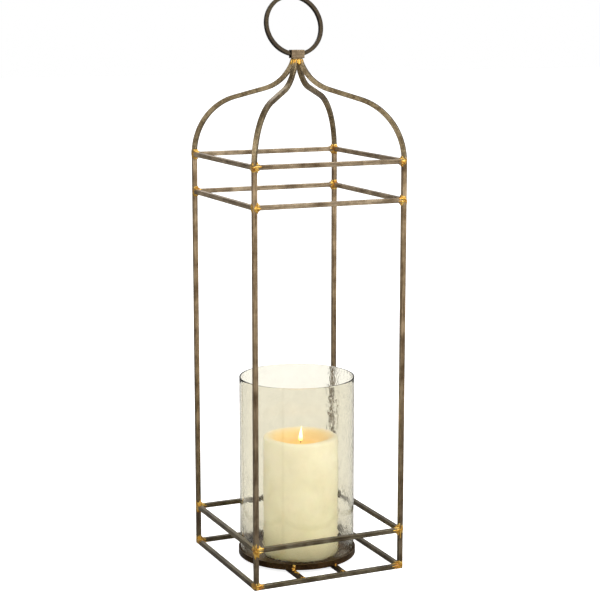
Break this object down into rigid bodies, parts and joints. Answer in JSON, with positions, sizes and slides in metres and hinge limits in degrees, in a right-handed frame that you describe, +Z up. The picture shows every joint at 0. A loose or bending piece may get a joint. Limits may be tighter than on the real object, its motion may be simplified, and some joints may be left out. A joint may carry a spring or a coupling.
{
  "type": "candle lantern",
  "caption": "Tall square lantern cage of brazed steel bar with an ogee crown and ring handle, holding an open glass cylinder and a pillar candle.",
  "frame": {"origin": "middle of the square foot, at table level", "axes": "+Z up, +X to the right and +Y to the back, along the rails; the ring handle turns about X"},
  "size_m": [0.216, 0.216, 0.7559],
  "materials": {
    "steel_bar": "raw square bar, darkened and waxed, brown-grey",
    "brass_braze": "as-melted brazing brass, lumpy and bright",
    "clear_glass": "clear with a faint warm tint, lightly rippled and seeded",
    "ivory_wax": "ivory wax, soft sheen",
    "wick_cotton": "charred cotton"
  },
  "bodies": {
    "cage": {"post_front_left": "steel_bar", "post_front_right": "steel_bar", "post_back_left": "steel_bar", "post_back_right": "steel_bar", "bottom_rail_front": "steel_bar", "bottom_rail_back": "steel_bar", "bottom_rail_left": "steel_bar", "bottom_rail_right": "steel_bar", "guard_rail_front": "steel_bar", "guard_rail_back": "steel_bar", "guard_rail_left": "steel_bar", "guard_rail_right": "steel_bar", "neck_rail_front": "steel_bar", "neck_rail_back": "steel_bar", "neck_rail_left": "steel_bar", "neck_rail_right": "steel_bar", "crown_rail_front": "steel_bar", "crown_rail_back": "steel_bar", "crown_rail_left": "steel_bar", "crown_rail_right": "steel_bar", "rib_front_left": "steel_bar", "rib_front_right": "steel_bar", "rib_back_left": "steel_bar", "rib_back_right": "steel_bar", "collar": "steel_bar", "pan_bar_left": "steel_bar", "pan_bar_right": "steel_bar", "candle_pan": "steel_bar", "braze_bottom_corners": "brass_braze", "braze_guard_corners": "brass_braze", "braze_neck_corners": "brass_braze", "braze_crown_corners": "brass_braze", "braze_apex": "brass_braze", "braze_pan_bars": "brass_braze", "braze_pan": "brass_braze"},
    "ring": {"ring_handle": "steel_bar"},
    "glass": {"glass_cylinder": "clear_glass"},
    "candle": {"candle_wax": "ivory_wax", "candle_wick": "wick_cotton"}
  },
  "joints": [
    {"name": "ring_rock", "type": "hinge", "parent": "cage", "child": "ring", "pos_m": [0, 0, 0.6789], "axis": [1, 0, 0], "range_deg": [0, 30]},
    {"name": "glass_lift", "type": "slide", "parent": "cage", "child": "glass", "axis": [0, 0, 1], "range_m": [0, 0.17]},
    {"name": "candle_lift", "type": "slide", "parent": "cage", "child": "candle", "axis": [0, 0, 1], "range_m": [0, 0.25]}
  ]
}
